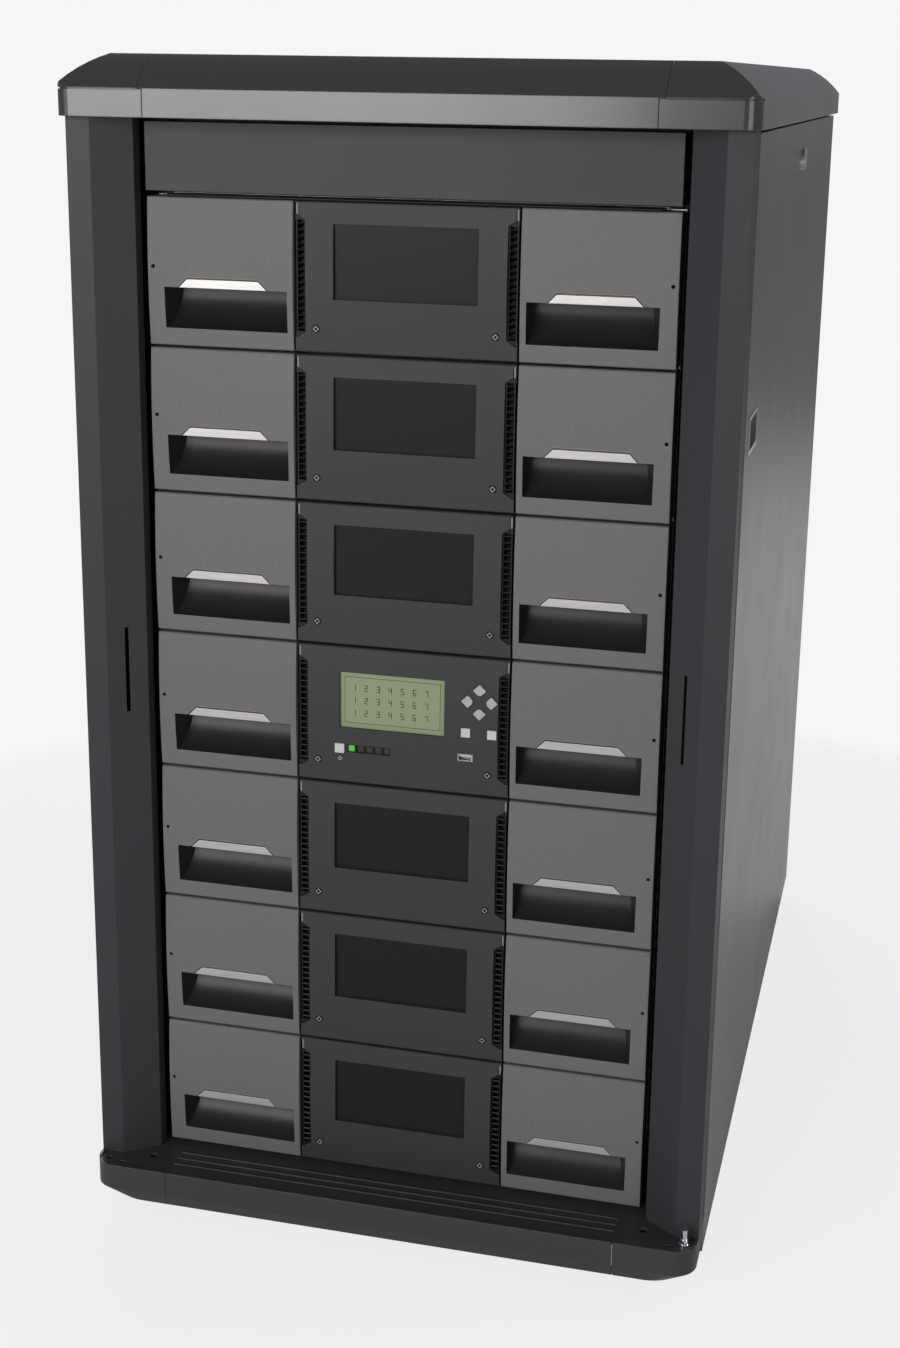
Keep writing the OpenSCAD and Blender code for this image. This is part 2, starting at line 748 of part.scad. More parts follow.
// Folded sheets riveted into one chassis: floors beside and behind the robot's well, sides,
// rack ears, front and rear, with magazine guides and toothed columns at the well's corners
module chassis(i) translate([0, y_rail, module_z(i)]) {
    h = module_h - fit;
    well_y0 = y_well - y_rail;
    well_y1 = y_well_end - y_rail;
    inner_d = chassis_d - sheet - fit;
    foot_w = column_w + 4;
    floor_x = well_half - column_w + foot_w + fit;
    chassis_rear(i);
    chassis_front();
    translate([-floor_x + fit, well_y1 + fit, 0])
        cube([2 * floor_x - 2 * fit, inner_d - well_y1 - fit, sheet]);
    for (s = SIDES) on_side(s) {
        translate([floor_x, well_y0, 0])
            cube([chassis_half - sheet - fit - floor_x, inner_d - well_y0, sheet]);
        translate([chassis_half - sheet, 0, 0]) cube([sheet, inner_d, h]);
        translate([chassis_half + fit, 0, 0]) cube([face_half - chassis_half - fit, sheet, h]);
        translate([floor_x, tray_y - y_rail + fit, sheet + fit]) cube([1.5, tray_l, 6]);
        translate([well_half - column_w, well_y0, 0]) {
            cube([foot_w, column_d, h]);
            toothed_column();
        }
        translate([well_half - column_w, well_y1, 0]) mirror([0, 1, 0]) {
            cube([foot_w, column_d, h]);
            toothed_column();
        }
    }
}

module module_chassis() color("#6f7276") {
    for (i = MODULES) chassis(i);
    // top and bottom covers of the stack
    translate([-chassis_half, y_rail, z_stack_top]) cube([chassis_w, chassis_d, 1.2]);
    translate([-well_half - 6, y_well - sheet, z_stack - 1.5 - fit])
        cube([2 * well_half + 12, y_well_end - y_well + 12, 1.5]);
}

// ---- Bezels --------------------------------------------------------------------

// Moulded front with a bulged face, hollow behind; drawn from the origin
module bezel_shell(w, depth) {
    corner = bezel_bulge + face_chamfer;
    difference() {
        along_x(w) bezel_section(depth, corner);
        translate([wall, inner_face, wall]) cube([w - 2 * wall, depth, bezel_h - 2 * wall]);
    }
}

module bezel_section(depth, corner) {
    intersection() {
        translate([bulge_r, bezel_h / 2]) circle(bulge_r, $fn = 720);
        polygon([
            [corner, 0], [depth, 0], [depth, bezel_h], [corner, bezel_h],
            [-eps, bezel_h - corner - eps], [-eps, corner + eps]
        ]);
    }
}

// The concave hand pocket, or the moulding round it when grown by its wall. Its outer end
// draws in towards the back.
module pocket_scoop(grow, y0) {
    x0 = pocket_x - grow;
    x1 = pocket_x + pocket_w + grow;
    slope = pocket_slope / pocket_d;
    y1 = pocket_d + 2 * grow;
    intersection() {
        translate([x0, 0, 0]) along_x(x1 - x0) intersection() {
            translate([pocket_axis, pocket_z + pocket_h]) circle(pocket_r + grow, $fn = 180);
            translate([y0, pocket_z - grow]) square([y1 - y0, pocket_h + 2 * grow]);
        }
        linear_extrude(bezel_h) polygon([[x0, y0], [x1, y0], [x1 - max(0, slope * y0), max(0, y0)],
            [x1 - slope * y1, y1], [x0, y1]]);
    }
}

// Trapezoid of the bright insert above the pocket
module insert_prism(grow, y0, y1) {
    x0 = insert_x - grow;
    x1 = insert_x + insert_w + grow;
    z0 = pocket_z + pocket_h;
    h = insert_h + grow;
    translate([0, y0, 0]) along_y(y1 - y0)
        polygon([[x0, z0], [x1, z0], [x1 - h, z0 + h], [x0 + h, z0 + h]]);
}

module magazine_bezel() {
    pad_y0 = insert_t + fit;
    difference() {
        union() {
            bezel_shell(magazine_w, magazine_bezel_d);
            pocket_scoop(wall, bezel_bulge + eps);
            translate([insert_x - 4, bezel_bulge, pocket_z + pocket_h])
                cube([insert_w + 8, pad_y0 + 3 - bezel_bulge, insert_h + 5]);
        }
        pocket_scoop(0, -eps);
        insert_prism(insert_reveal, -eps, pad_y0);
        translate([magazine_w - release_edge, -eps, bezel_h - release_drop]) rotate([-90, 0, 0])
            cylinder(r = release_r, h = inner_face + 2 * eps, $fn = 12);
    }
    intersection() {
        along_x(magazine_w) bezel_section(magazine_bezel_d, bezel_bulge + face_chamfer);
        insert_prism(0, -eps, insert_t);
    }
}

// Opening for a vent grille in the edge of a centre bezel
module vent_notch(grow, depth) {
    z0 = vent_rise - grow;
    z1 = bezel_h - vent_drop + grow;
    w = vent_w + fit + grow;
    translate([0, -eps, 0]) along_y(depth + eps) polygon([
        [centre_half + eps, z0], [centre_half - 2, z0], [centre_half - w, z0 + vent_corner],
        [centre_half - w, z1 - vent_corner], [centre_half - 2, z1], [centre_half + eps, z1]
    ]);
}

// Narrow slit over a vent, where the tongue of the magazine's lock shows
module tongue_slit(depth) {
    slit_w = 2.8;
    z0 = bezel_h - vent_drop - eps;
    translate([centre_half - slit_w, -eps, z0])
        cube([slit_w + eps, depth + eps, bezel_h - tongue_drop - z0]);
}

// Common centre bezel, drawn about X = 0
module centre_bezel_blank() difference() {
    translate([-centre_half, 0, 0]) bezel_shell(2 * centre_half, bezel_d);
    for (s = SIDES) on_side(s) {
        vent_notch(0, 13);
        tongue_slit(13);
    }
}

// A stepped opening: the visible cut and a seat behind it
module framed_opening(x, z, w, h, seat_y, margin) {
    translate([x, -eps, z]) cube([w, inner_face + 2 * eps, h]);
    translate([x - margin, seat_y, z - margin]) cube([w + 2 * margin, inner_face, h + 2 * margin]);
}

module centre_bezel() difference() {
    centre_bezel_blank();
    framed_opening(-window_w / 2, bezel_h - window_drop - window_h, window_w, window_h,
        window_seat, window_margin);
}

module place_bezel(i) {
    translate([0, y_face, module_z(i) + bezel_gap / 2]) children();
}

module centre_bezels() color("#4c4b4a")
    for (i = MODULES) if (i != control_row) place_bezel(i) centre_bezel();

module blank_windows() color("#202123") for (i = MODULES) if (i != control_row) place_bezel(i) {
    edge = window_margin - fit;
    translate([-window_w / 2 - edge, window_seat + fit, bezel_h - window_drop - window_h - edge])
        cube([window_w + 2 * edge, 2, window_h + 2 * edge]);
}

// Louvre strip: a back plate, two side rails, slanted blades and the lock's tongue above
module vent_grille() {
    depth = 11;
    blades = 17;
    y0 = bezel_bulge + 0.6;
    x1 = centre_half - 0.6;
    pitch = (bezel_h - vent_drop - vent_rise - 2 * vent_corner) / blades;
    translate([centre_half - 2.3, y0, bezel_h - vent_drop - 2])
        cube([1.5, depth - y0, vent_drop + 2 - tongue_drop - fit]);
    intersection() {
        vent_notch(-fit, depth + 1);
        union() {
            translate([0, depth - 1.5, 0]) cube([x1, 1.5, bezel_h]);
            for (x = [centre_half - vent_w, x1 - 1.2])
                translate([x, y0, 0]) cube([1.2, depth - y0, bezel_h]);
            for (z = [vent_rise, bezel_h - vent_drop - vent_corner])
                translate([centre_half - vent_w, y0, z]) cube([vent_w, depth - y0, vent_corner]);
            for (k = [0 : blades - 1])
                translate([centre_half - vent_w, y0, vent_rise + vent_corner + (k + 0.4) * pitch])
                    rotate([-28, 0, 0]) cube([vent_w - 0.6, depth - y0, 1.3]);
        }
    }
}

module vent_grilles() color("#101112")
    for (i = MODULES) place_bezel(i) for (s = SIDES) on_side(s) vent_grille();

// ---- Control panel -------------------------------------------------------------

// Outline of an arrow key: a square on its corner, rounded towards the pad's middle
module arrow_key_outline(grow) {
    reach = key_size / sqrt(2);
    intersection() {
        rotate(45) square(key_size + 2 * grow, center = true);
        translate([0, 1.6]) circle(reach + grow, $fn = fine);
    }
}

module square_key_outline(size, grow) {
    square(size + 2 * grow, center = true);
}

// Place of a key on the panel: outline drawn in X and Z about the key's middle
module at_key(x, drop, y) {
    translate([x, y, bezel_h - drop]) children();
}

module key_body(h0, h1) {
    translate([0, h0, 0]) along_y(h1 - h0) children();
}

module key_back_parts(w) {
    stem_end = board_y - 1.4 - key_travel - fit;
    translate([0, inner_face + fit, 0]) along_y(key_flange) square(w + 2, center = true);
    translate([0, inner_face + fit, 0]) along_y(stem_end - inner_face - fit) square(4, center = true);
}

module arrow_key(angle) {
    direction = [sin(angle), cos(angle)];
    place_bezel(control_row) at_key(pad_x + pad_reach * direction[0],
        pad_drop - pad_reach * direction[1], 0) {
        key_body(-key_proud, inner_face + fit) rotate(-angle) arrow_key_outline(0);
        key_back_parts(key_size);
    }
}

module square_key(x, drop, size) place_bezel(control_row) at_key(x, drop, 0) {
    key_body(-key_proud, inner_face + fit) square_key_outline(size, 0);
    key_back_parts(size);
}

module key_up() color("#b9b9bb") arrow_key(0);
module key_right() color("#b9b9bb") arrow_key(90);
module key_down() color("#b9b9bb") arrow_key(180);
module key_left() color("#b9b9bb") arrow_key(270);
module key_back() color("#b9b9bb") square_key(square_key_x[0], square_key_drop, key_size);
module key_select() color("#b9b9bb") square_key(square_key_x[1], square_key_drop, key_size);
module power_button() color("#b9b9bb") square_key(power_x, power_drop, power_size);

module key_hole(x, drop) {
    at_key(x, drop, -eps) along_y(inner_face + 2 * eps) children();
}

module control_bezel() color("#4c4b4a") place_bezel(control_row) {
    bosses = [[-84, 30], [84, 30], [-84, bezel_h - 16], [84, bezel_h - 16]];
    difference() {
        centre_bezel_blank();
        framed_opening(lcd_x, bezel_h - lcd_drop - lcd_h, lcd_w, lcd_h, lcd_seat, lcd_margin);
        for (angle = [0 : 90 : 270])
            key_hole(pad_x + pad_reach * sin(angle), pad_drop - pad_reach * cos(angle))
                rotate(-angle) arrow_key_outline(key_gap);
        for (x = square_key_x) key_hole(x, square_key_drop) square_key_outline(key_size, key_gap);
        key_hole(power_x, power_drop) square_key_outline(power_size, key_gap);
        translate([led_x - led_size / 2 - 1, -eps, bezel_h - power_drop - 4])
            cube([(led_count - 1) * led_pitch + led_size + 2, inner_face + 2 * eps, 8]);
        translate([usb_x - usb_w / 2 - fit, -eps, bezel_h - usb_drop - usb_h / 2 - fit])
            cube([usb_w + 2 * fit, inner_face + 2 * eps, usb_h + 2 * fit]);
    }
    for (b = bosses) translate([b[0], inner_face - fit, b[1]]) rotate([-90, 0, 0])
        cylinder(r = 3, h = board_y - inner_face + fit, $fn = fine);
}

module lcd_display() color("#93a072") place_bezel(control_row) {
    edge = lcd_margin - fit;
    translate([lcd_x - edge, lcd_seat + fit, bezel_h - lcd_drop - lcd_h - edge])
        cube([lcd_w + 2 * edge, board_y - lcd_seat - 2 * fit, lcd_h + 2 * edge]);
}

// Circuit board with key switches, the status light pipes and the USB socket
module control_board() color("#2f5a3c") place_bezel(control_row) {
    board_x = 92;
    translate([-board_x, board_y, 18]) cube([2 * board_x, board_t, bezel_h - 30]);
    key_spots = concat(
        [for (a = [0 : 90 : 270]) [pad_x + pad_reach * sin(a), pad_drop - pad_reach * cos(a)]],
        [for (x = square_key_x) [x, square_key_drop]],
        [[power_x, power_drop]]
    );
    for (k = key_spots) translate([k[0] - 3, board_y - 1.4, bezel_h - k[1] - 3]) cube([6, 1.4 + fit, 6]);
    for (k = [0 : led_count - 1])
        translate([led_x - led_size / 2 + k * led_pitch, bezel_bulge, bezel_h - power_drop - led_size / 2])
            cube([led_size, board_y - bezel_bulge - fit, led_size]);
    translate([usb_x, 0.8, bezel_h - usb_drop]) difference() {
        translate([-usb_w / 2, 0, -usb_h / 2]) cube([usb_w, board_y + fit, usb_h]);
        translate([-usb_w / 2 + 0.8, -eps, -usb_h / 2 + 0.8]) cube([usb_w - 1.6, 10, usb_h - 1.6]);
    }
    translate([usb_x - usb_w / 2 + 1.6, 2.3, bezel_h - usb_drop + 0.2]) cube([usb_w - 3.2, 10, 1.7]);
}

// ---- Drives, power and robot ---------------------------------------------------

// Half-height drive on its sled: body, rear flange, fan opening and pull handle
module drive(k) {
    z = module_z(control_row) + sheet + 1 + k * drive_h;
    translate([-drive_w / 2, y_back - drive_d, z]) {
        difference() {
            cube([drive_w, drive_d + 2, drive_h - 0.6]);
            translate([34, drive_d - 6, drive_h / 2]) rotate([-90, 0, 0])
                cylinder(r = 16, h = 12, $fn = fine);
            translate([64, drive_d - 4, 8]) cube([34, 8, 9]);
            translate([64, drive_d - 4, 23]) cube([34, 8, 9]);
        }
        translate([120, drive_d + 1, 8]) difference() {
            cube([10, 13, drive_h - 16]);
            translate([-eps, 3, 4]) cube([12, 6, drive_h - 24]);
        }
        translate([34 - 5, drive_d - 6.5, drive_h / 2 - 5]) cube([10, 6, 10]);
    }
}

module tape_drives() color("#8a8d90") for (k = [0 : drive_count - 1]) drive(k);

// Plug-in supply with its mains inlet, fan opening and pull loop
module supply(k) {
    translate([-psu_x - psu_w, y_back - psu_d, module_z(control_row) + psu_z + k * (psu_h + fit)]) {
        difference() {
            cube([psu_w, psu_d + 2, psu_h]);
            translate([8, psu_d - 12, 8]) cube([28, 16, 22]);
            translate([64, psu_d - 6, psu_h / 2]) rotate([-90, 0, 0])
                cylinder(r = 15, h = 12, $fn = fine);
        }
        translate([59, psu_d - 6.5, psu_h / 2 - 5]) cube([10, 6, 10]);
        translate([86, psu_d + 1, 6]) difference() {
            cube([7, 14, psu_h - 12]);
            translate([-eps, 3, 4]) cube([9, 7, psu_h - 20]);
        }
    }
}

module power_supplies() color("#9a9da0") for (k = [0 : 1]) supply(k);

// Open frame that climbs the toothed columns, with two cross guides for the shuttle
module robot_lift() color("#b7babd") translate([0, 0, lift_z]) {
    bar = 14;
    guide_w = 8;
    clear = column_d + tooth_h + slide_fit;
    linear_extrude(lift_h) difference() {
        union() {
            translate([-lift_nose_x, lift_y0]) square([2 * lift_nose_x, lift_y1 - lift_y0]);
            translate([-lift_x, y_well + clear])
                square([2 * lift_x, y_well_end - y_well - 2 * clear]);
        }
        translate([-lift_x + bar, y_well + clear + bar])
            square([2 * lift_x - 2 * bar, y_well_end - y_well - 2 * clear - 2 * bar]);
    }
    for (s = SIDES) translate([s * 50 - guide_w / 2, y_well + clear + bar - fit, 2])
        cube([guide_w, y_well_end - y_well - 2 * clear - 2 * bar + 2 * fit, lift_h - 4]);
}

// Carriage that runs front to back on the lift: a tray with two cross rails on top
module robot_shuttle() color("#3d4043") translate([0, y_robot, shuttle_z]) {
    half_l = shuttle_l / 2;
    rail_y = half_l - 20;
    difference() {
        translate([-shuttle_x, -half_l, 0]) cube([2 * shuttle_x, shuttle_l, shuttle_h]);
        translate([-shuttle_x + 4, -half_l + 10, 4])
            cube([2 * shuttle_x - 8, shuttle_l - 20, shuttle_h]);
    }
    for (y = [-rail_y, rail_y]) translate([-shuttle_x + 3, y - 4, 3])
        cube([2 * shuttle_x - 6, 8, shuttle_h - 3]);
    for (s = SIDES) translate([s * 40 - 3, -28, -lift_h / 2 - slide_fit]) cube([6, 56, lift_h / 2 + 1]);
}

// Cartridge cradle with a slot right through it and two fingers at each mouth
module robot_gripper() color("#c4c6c8")
    translate([0, y_robot, shuttle_z + shuttle_h + slide_fit]) {
        half_l = shuttle_l / 2;
        difference() {
            translate([-gripper_x, -half_l, 0]) cube([2 * gripper_x, shuttle_l, gripper_h]);
            translate([-gripper_x - eps, -slot_w / 2, 8]) cube([2 * gripper_x + 2, slot_w, 27]);
            translate([-gripper_x + 18, -slot_w / 2 + 8, -eps])
                cube([2 * gripper_x - 36, slot_w - 16, gripper_h + 2]);
        }
        for (s = SIDES) for (y = [-half_l + 24, half_l - 24])
            translate([s * (gripper_x + 4) - 4, y - 4, gripper_h - 9]) cube([8, 8, 5]);
    }

// ---- Magazines -----------------------------------------------------------------

// Side view of a tray: a grid of cartridge slots with ledges on its dividers
module tray_grid() {
    difference() {
        square([tray_l, tray_h]);
        for (c = [0 : columns - 1]) translate([rib + c * column_pitch, rib])
            square([slot_w, tray_h - 2 * rib]);
    }
    for (c = [0 : columns - 1]) for (r = [1 : rows - 1]) for (x = [rib - fit, rib + slot_w - ledge])
        translate([x + c * column_pitch, r * row_pitch]) square([ledge + fit, rib]);
}

// Outer wall of a tray with a sight window for each slot
module tray_wall() {
    difference() {
        square([tray_l, tray_h]);
        for (c = [0 : columns - 1]) for (r = [0 : rows - 1])
            translate([rib + c * column_pitch + 22, r * row_pitch + 9])
                square([slot_w - 44, row_pitch - 15]);
    }
}

module magazine_tray() {
    face_gap = 1.2;
    plate_x0 = centre_half + 2 + face_gap;
    plate_x1 = chassis_half - sheet - face_gap;
    back_y = tray_y - y_face;
    translate([plate_x0, magazine_bezel_d, tray_lift])
        cube([plate_x1 - plate_x0, tray_front_t, module_h - 2 * tray_lift]);
    translate([0, back_y, tray_lift + runner_h]) {
        translate([tray_in, 0, 0]) along_x(slot_deep) tray_grid();
        translate([tray_out - rib, 0, 0]) along_x(rib) tray_wall();
    }
    for (x = [tray_in + 6, tray_out - 12]) translate([x, back_y, tray_lift]) cube([6, tray_l, runner_h]);
}

module magazine_tray_at(s, i) color("#26282b")
    translate([0, y_face, module_z(i)]) on_side(s) magazine_tray();

module magazine_bezel_at(s, i) color("#4c4b4a")
    place_bezel(i) on_side(s) translate([face_half - magazine_w, 0, 0]) magazine_bezel();

// ---- Assembly ------------------------------------------------------------------

cabinet_frame();
plinth_trim();
cap_trim();
top_panel();
side_panel_left();
side_panel_right();
panel_hardware();
latch_left();
latch_right();
rack_rails();
header_panel();
door_hinge_pin();
levelling_feet();
module_chassis();
centre_bezels();
control_bezel();
vent_grilles();
blank_windows();
lcd_display();
control_board();
tape_drives();
power_supplies();
robot_lift();
robot_shuttle();
robot_gripper();
key_up();
key_down();
key_left();
key_right();
key_back();
key_select();
power_button();
for (s = SIDES) for (i = MODULES) {
    tray = str("magazine_tray_", side_name(s), "_", i);
    bezel = str("magazine_bezel_", side_name(s), "_", i);
    magazine_tray_at(s, i);
    magazine_bezel_at(s, i);
}
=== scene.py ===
import math
import bpy
import bmesh
from mathutils import Matrix, Vector


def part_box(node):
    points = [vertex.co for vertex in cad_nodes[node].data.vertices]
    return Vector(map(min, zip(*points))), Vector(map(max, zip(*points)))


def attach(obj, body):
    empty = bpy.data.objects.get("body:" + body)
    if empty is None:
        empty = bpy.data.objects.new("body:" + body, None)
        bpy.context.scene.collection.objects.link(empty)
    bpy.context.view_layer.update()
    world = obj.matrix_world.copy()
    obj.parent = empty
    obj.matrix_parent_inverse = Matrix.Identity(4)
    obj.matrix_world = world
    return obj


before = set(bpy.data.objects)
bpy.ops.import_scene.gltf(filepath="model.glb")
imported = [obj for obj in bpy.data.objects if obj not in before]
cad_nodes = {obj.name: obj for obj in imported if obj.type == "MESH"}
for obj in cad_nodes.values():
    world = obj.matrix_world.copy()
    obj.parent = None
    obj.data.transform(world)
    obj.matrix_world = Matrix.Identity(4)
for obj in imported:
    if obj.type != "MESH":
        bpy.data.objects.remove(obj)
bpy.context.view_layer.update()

MM = 0.001
ROOT = "library"
SIDES = (("left", -1), ("right", 1))
CONTROL_ROW = 4                      # the module with the control panel, counted as the nodes are


def box(node):
    """Lowest and highest corner of a CAD node."""
    return [Vector(c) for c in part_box(node)]


# ---------------------------------------------------------------- camera, light, floor

IMAGE_HEIGHT = 1348
FOCAL_LENGTH = 1937.3                # in the image's pixels
SENSOR_HEIGHT = 36
CAMERA_AZIMUTH = math.radians(13.755)
CAMERA_ELEVATION = math.radians(14.998)
CAMERA_ROLL = math.radians(0.892)
CAMERA_PLACE = (0.4556, -2.0641, 1.1000)
CAMERA_SHIFT = (-0.0116, -0.0588)
CAMERA_REACH = 50

PALE = (0.922, 0.922, 0.922, 1)      # background, and the floor where it runs into it
ROOM_COLOR = (0.93, 0.95, 1.0, 1)
ROOM_STRENGTH = 0.22
FLOOR_COLOR = (0.8, 0.8, 0.8, 1)
FLOOR_RADIUS = 30
FLOOR_SIDES = 96
FADE_SLOPE, FADE_OFFSET = 1.4, -0.75     # the floor's fade over the distance from the object
LEAST_FADE = 0.86

# name, place, target, width, height, power
LAMPS = (
    ("key", (-1.5, -3.9, 1.5), (0, -0.4, 0.6), 2.4, 1.6, 105),
    ("fill", (2.4, -3.0, 1.2), (0, -0.4, 0.5), 1.6, 1.6, 26),
    ("side", (3.2, 0.9, 2.3), (0.3, 0, 0.9), 1.4, 1.6, 36),
    ("rear", (-1.4, 3.2, 2.0), (0, 0.4, 0.6), 2.0, 2.0, 60),
)


def add_object(name, data):
    ob = bpy.data.objects.new(name, data)
    bpy.context.collection.objects.link(ob)
    return ob


def camera():
    az, el, roll = CAMERA_AZIMUTH, CAMERA_ELEVATION, CAMERA_ROLL
    right = Vector((math.cos(az), math.sin(az), 0))
    forward = Vector((-math.sin(az) * math.cos(el), math.cos(az) * math.cos(el), -math.sin(el)))
    up = right.cross(forward)
    x = right * math.cos(roll) + up * math.sin(roll)
    y = -right * math.sin(roll) + up * math.cos(roll)
    matrix = Matrix((x, y, -forward)).transposed().to_4x4()
    matrix.translation = Vector(CAMERA_PLACE)
    data = bpy.data.cameras.new("camera")
    data.sensor_fit = "VERTICAL"
    data.sensor_height = SENSOR_HEIGHT
    data.lens = FOCAL_LENGTH / IMAGE_HEIGHT * SENSOR_HEIGHT
    data.shift_x, data.shift_y = CAMERA_SHIFT
    data.clip_end = CAMERA_REACH
    ob = add_object("camera", data)
    ob.matrix_world = matrix
    bpy.context.scene.camera = ob


def lamp(name, place, target, width, height, power):
    data = bpy.data.lights.new(name, "AREA")
    data.energy = power
    data.shape = "RECTANGLE"
    data.size = width
    data.size_y = height
    ob = add_object(name, data)
    ob.location = place
    ob.rotation_euler = (Vector(target) - Vector(place)).to_track_quat("-Z", "Y").to_euler()


class Nodes:
    """Small helper round a node tree."""

    def __init__(self, tree):
        self.tree = tree
        self.tree.nodes.clear()
        self.object_coord = None

    def add(self, kind, operation=None):
        node = self.tree.nodes.new(kind)
        if operation:
            node.operation = operation
        return node

    def link(self, output, socket):
        self.tree.links.new(output, socket)

    def math(self, operation, *values, clamp=False):
        node = self.add("ShaderNodeMath", operation)
        node.use_clamp = clamp
        for socket, value in zip(node.inputs, values):
            if isinstance(value, (int, float)):
                socket.default_value = value
            else:
                self.link(value, socket)
        return node.outputs[0]

    def ramp(self, factor, stops):
        node = self.add("ShaderNodeValToRGB")
        while len(node.color_ramp.elements) < len(stops):
            node.color_ramp.elements.new(0.5)
        for element, (position, color) in zip(node.color_ramp.elements, stops):
            element.position = position
            element.color = (*color, 1) if isinstance(color, tuple) else (color, color, color, 1)
        self.link(factor, node.inputs[0])
        return node.outputs[0]

    def noise(self, scale, detail, roughness, stretch=None):
        node = self.add("ShaderNodeTexNoise")
        node.inputs["Scale"].default_value = scale
        node.inputs["Detail"].default_value = detail
        node.inputs["Roughness"].default_value = roughness
        vector = self.coord()
        if stretch:
            mapping = self.add("ShaderNodeMapping")
            mapping.inputs["Scale"].default_value = stretch
            self.link(vector, mapping.inputs["Vector"])
            vector = mapping.outputs[0]
        self.link(vector, node.inputs["Vector"])
        return node.outputs["Fac"]

    def coord(self):
        if self.object_coord is None:
            self.object_coord = self.add("ShaderNodeTexCoord").outputs["Object"]
        return self.object_coord

    def mix(self, factor, a, b):
        node = self.add("ShaderNodeMix")
        node.data_type = "RGBA"
        for socket, value in ((node.inputs[0], factor), (node.inputs[6], a), (node.inputs[7], b)):
            if isinstance(value, tuple):
                socket.default_value = (*value, 1)
            elif isinstance(value, (int, float)):
                socket.default_value = value
            else:
                self.link(value, socket)
        return node.outputs[2]

    def mix_shaders(self, factor, a, b):
        node = self.add("ShaderNodeMixShader")
        for socket, output in zip(node.inputs, (factor, a.outputs[0], b.outputs[0])):
            self.link(output, socket)
        return node.outputs[0]

    def plain(self, kind, color):
        """A shader of one colour."""
        node = self.add(kind)
        node.inputs[0].default_value = color
        return node


def room():
    """World: soft light for the object, and the pale background for the camera."""
    world = bpy.data.worlds.new("world")
    bpy.context.scene.world = world
    world.use_nodes = True
    k = Nodes(world.node_tree)
    out = k.add("ShaderNodeOutputWorld")
    path = k.add("ShaderNodeLightPath")
    light = k.plain("ShaderNodeBackground", ROOM_COLOR)
    light.inputs[1].default_value = ROOM_STRENGTH
    seen = k.plain("ShaderNodeBackground", PALE)
    k.link(k.mix_shaders(path.outputs["Is Camera Ray"], light, seen), out.inputs[0])


def floor_material():
    """Pale floor that keeps the object's shadow and runs into the background further out."""
    material = bpy.data.materials.new("floor")
    material.use_nodes = True
    k = Nodes(material.node_tree)
    out = k.add("ShaderNodeOutputMaterial")
    path = k.add("ShaderNodeLightPath")
    diffuse = k.plain("ShaderNodeBsdfDiffuse", FLOOR_COLOR)
    glow = k.plain("ShaderNodeEmission", PALE)
    distance = k.add("ShaderNodeVectorMath", "LENGTH")
    k.link(k.coord(), distance.inputs[0])
    far = k.math("MULTIPLY_ADD", distance.outputs["Value"], FADE_SLOPE, FADE_OFFSET, clamp=True)
    fade = k.math("MULTIPLY", k.math("MAXIMUM", far, LEAST_FADE), path.outputs["Is Camera Ray"])
    k.link(k.mix_shaders(fade, diffuse, glow), out.inputs[0])
    return material


def floor():
    bm = bmesh.new()
    bmesh.ops.create_circle(bm, cap_ends=True, segments=FLOOR_SIDES, radius=FLOOR_RADIUS)
    mesh = bpy.data.meshes.new("floor")
    bm.to_mesh(mesh)
    bm.free()
    ob = add_object("floor", mesh)
    mesh.materials.append(floor_material())


bpy.context.scene.view_settings.view_transform = "Standard"
camera()
room()
floor()
for settings in LAMPS:
    lamp(*settings)


# ---------------------------------------------------------------- materials

LEAST_ROUND = 0.6 * MM               # radius at which worn edges are looked for
BUMP_DEPTH = 0.4 * MM
CLOUD_SCALE, SMUDGE_SCALE, SCUFF_SCALE = 3.0, 9, 60
COAT_ROUGHNESS = 0.12
GLOW_STRENGTH = 0.35


def base_color(k, color, vary, grain, grain_scale, stretch):
    """Slow clouds in the colour, with fine grain over them."""
    cloud = k.math("MULTIPLY_ADD", k.noise(CLOUD_SCALE, 3, 0.55), 1.6, -0.3, clamp=True)
    base = k.mix(cloud, tuple(c * (1 - vary) for c in color), tuple(c * (1 + vary) for c in color))
    if grain:
        speck = k.noise(grain_scale, 2, 0.7, stretch=stretch)
        low = tuple(max(0, c * (1 - grain)) for c in color)
        high = tuple(c * (1 + grain) for c in color)
        base = k.mix(0.5, base, k.ramp(speck, ((0.3, low), (0.7, high))))
    return base


def worn_edges(k, base, rounded, wear, wear_color):
    """Lighter colour, in scuffs, where the rounded normal leaves the true one."""
    geometry = k.add("ShaderNodeNewGeometry")
    dot = k.add("ShaderNodeVectorMath", "DOT_PRODUCT")
    k.link(rounded.outputs[0], dot.inputs[0])
    k.link(geometry.outputs["Normal"], dot.inputs[1])
    edge = k.ramp(dot.outputs["Value"], ((0.8, 1.0), (0.97, 0.0)))
    scuff = k.ramp(k.noise(SCUFF_SCALE, 5, 0.7), ((0.35, 0.25), (0.68, 1.0)))
    factor = k.math("MULTIPLY", k.math("MULTIPLY", edge, scuff), wear)
    return k.mix(factor, base, wear_color)


def relief(k, bump, bump_scale, stretch, ribs):
    """Fine bumps, with ribs under them where asked for."""
    node = k.add("ShaderNodeBump")
    node.inputs["Strength"].default_value = bump
    node.inputs["Distance"].default_value = BUMP_DEPTH
    height = k.noise(bump_scale, 3, 0.6, stretch=stretch)
    if ribs:
        wave = k.add("ShaderNodeTexWave")
        wave.bands_direction = "DIAGONAL"
        wave.inputs["Scale"].default_value = ribs
        k.link(k.coord(), wave.inputs["Vector"])
        height = k.math("ADD", k.math("MULTIPLY", wave.outputs["Fac"], 2.0), height)
    k.link(height, node.inputs["Height"])
    return node


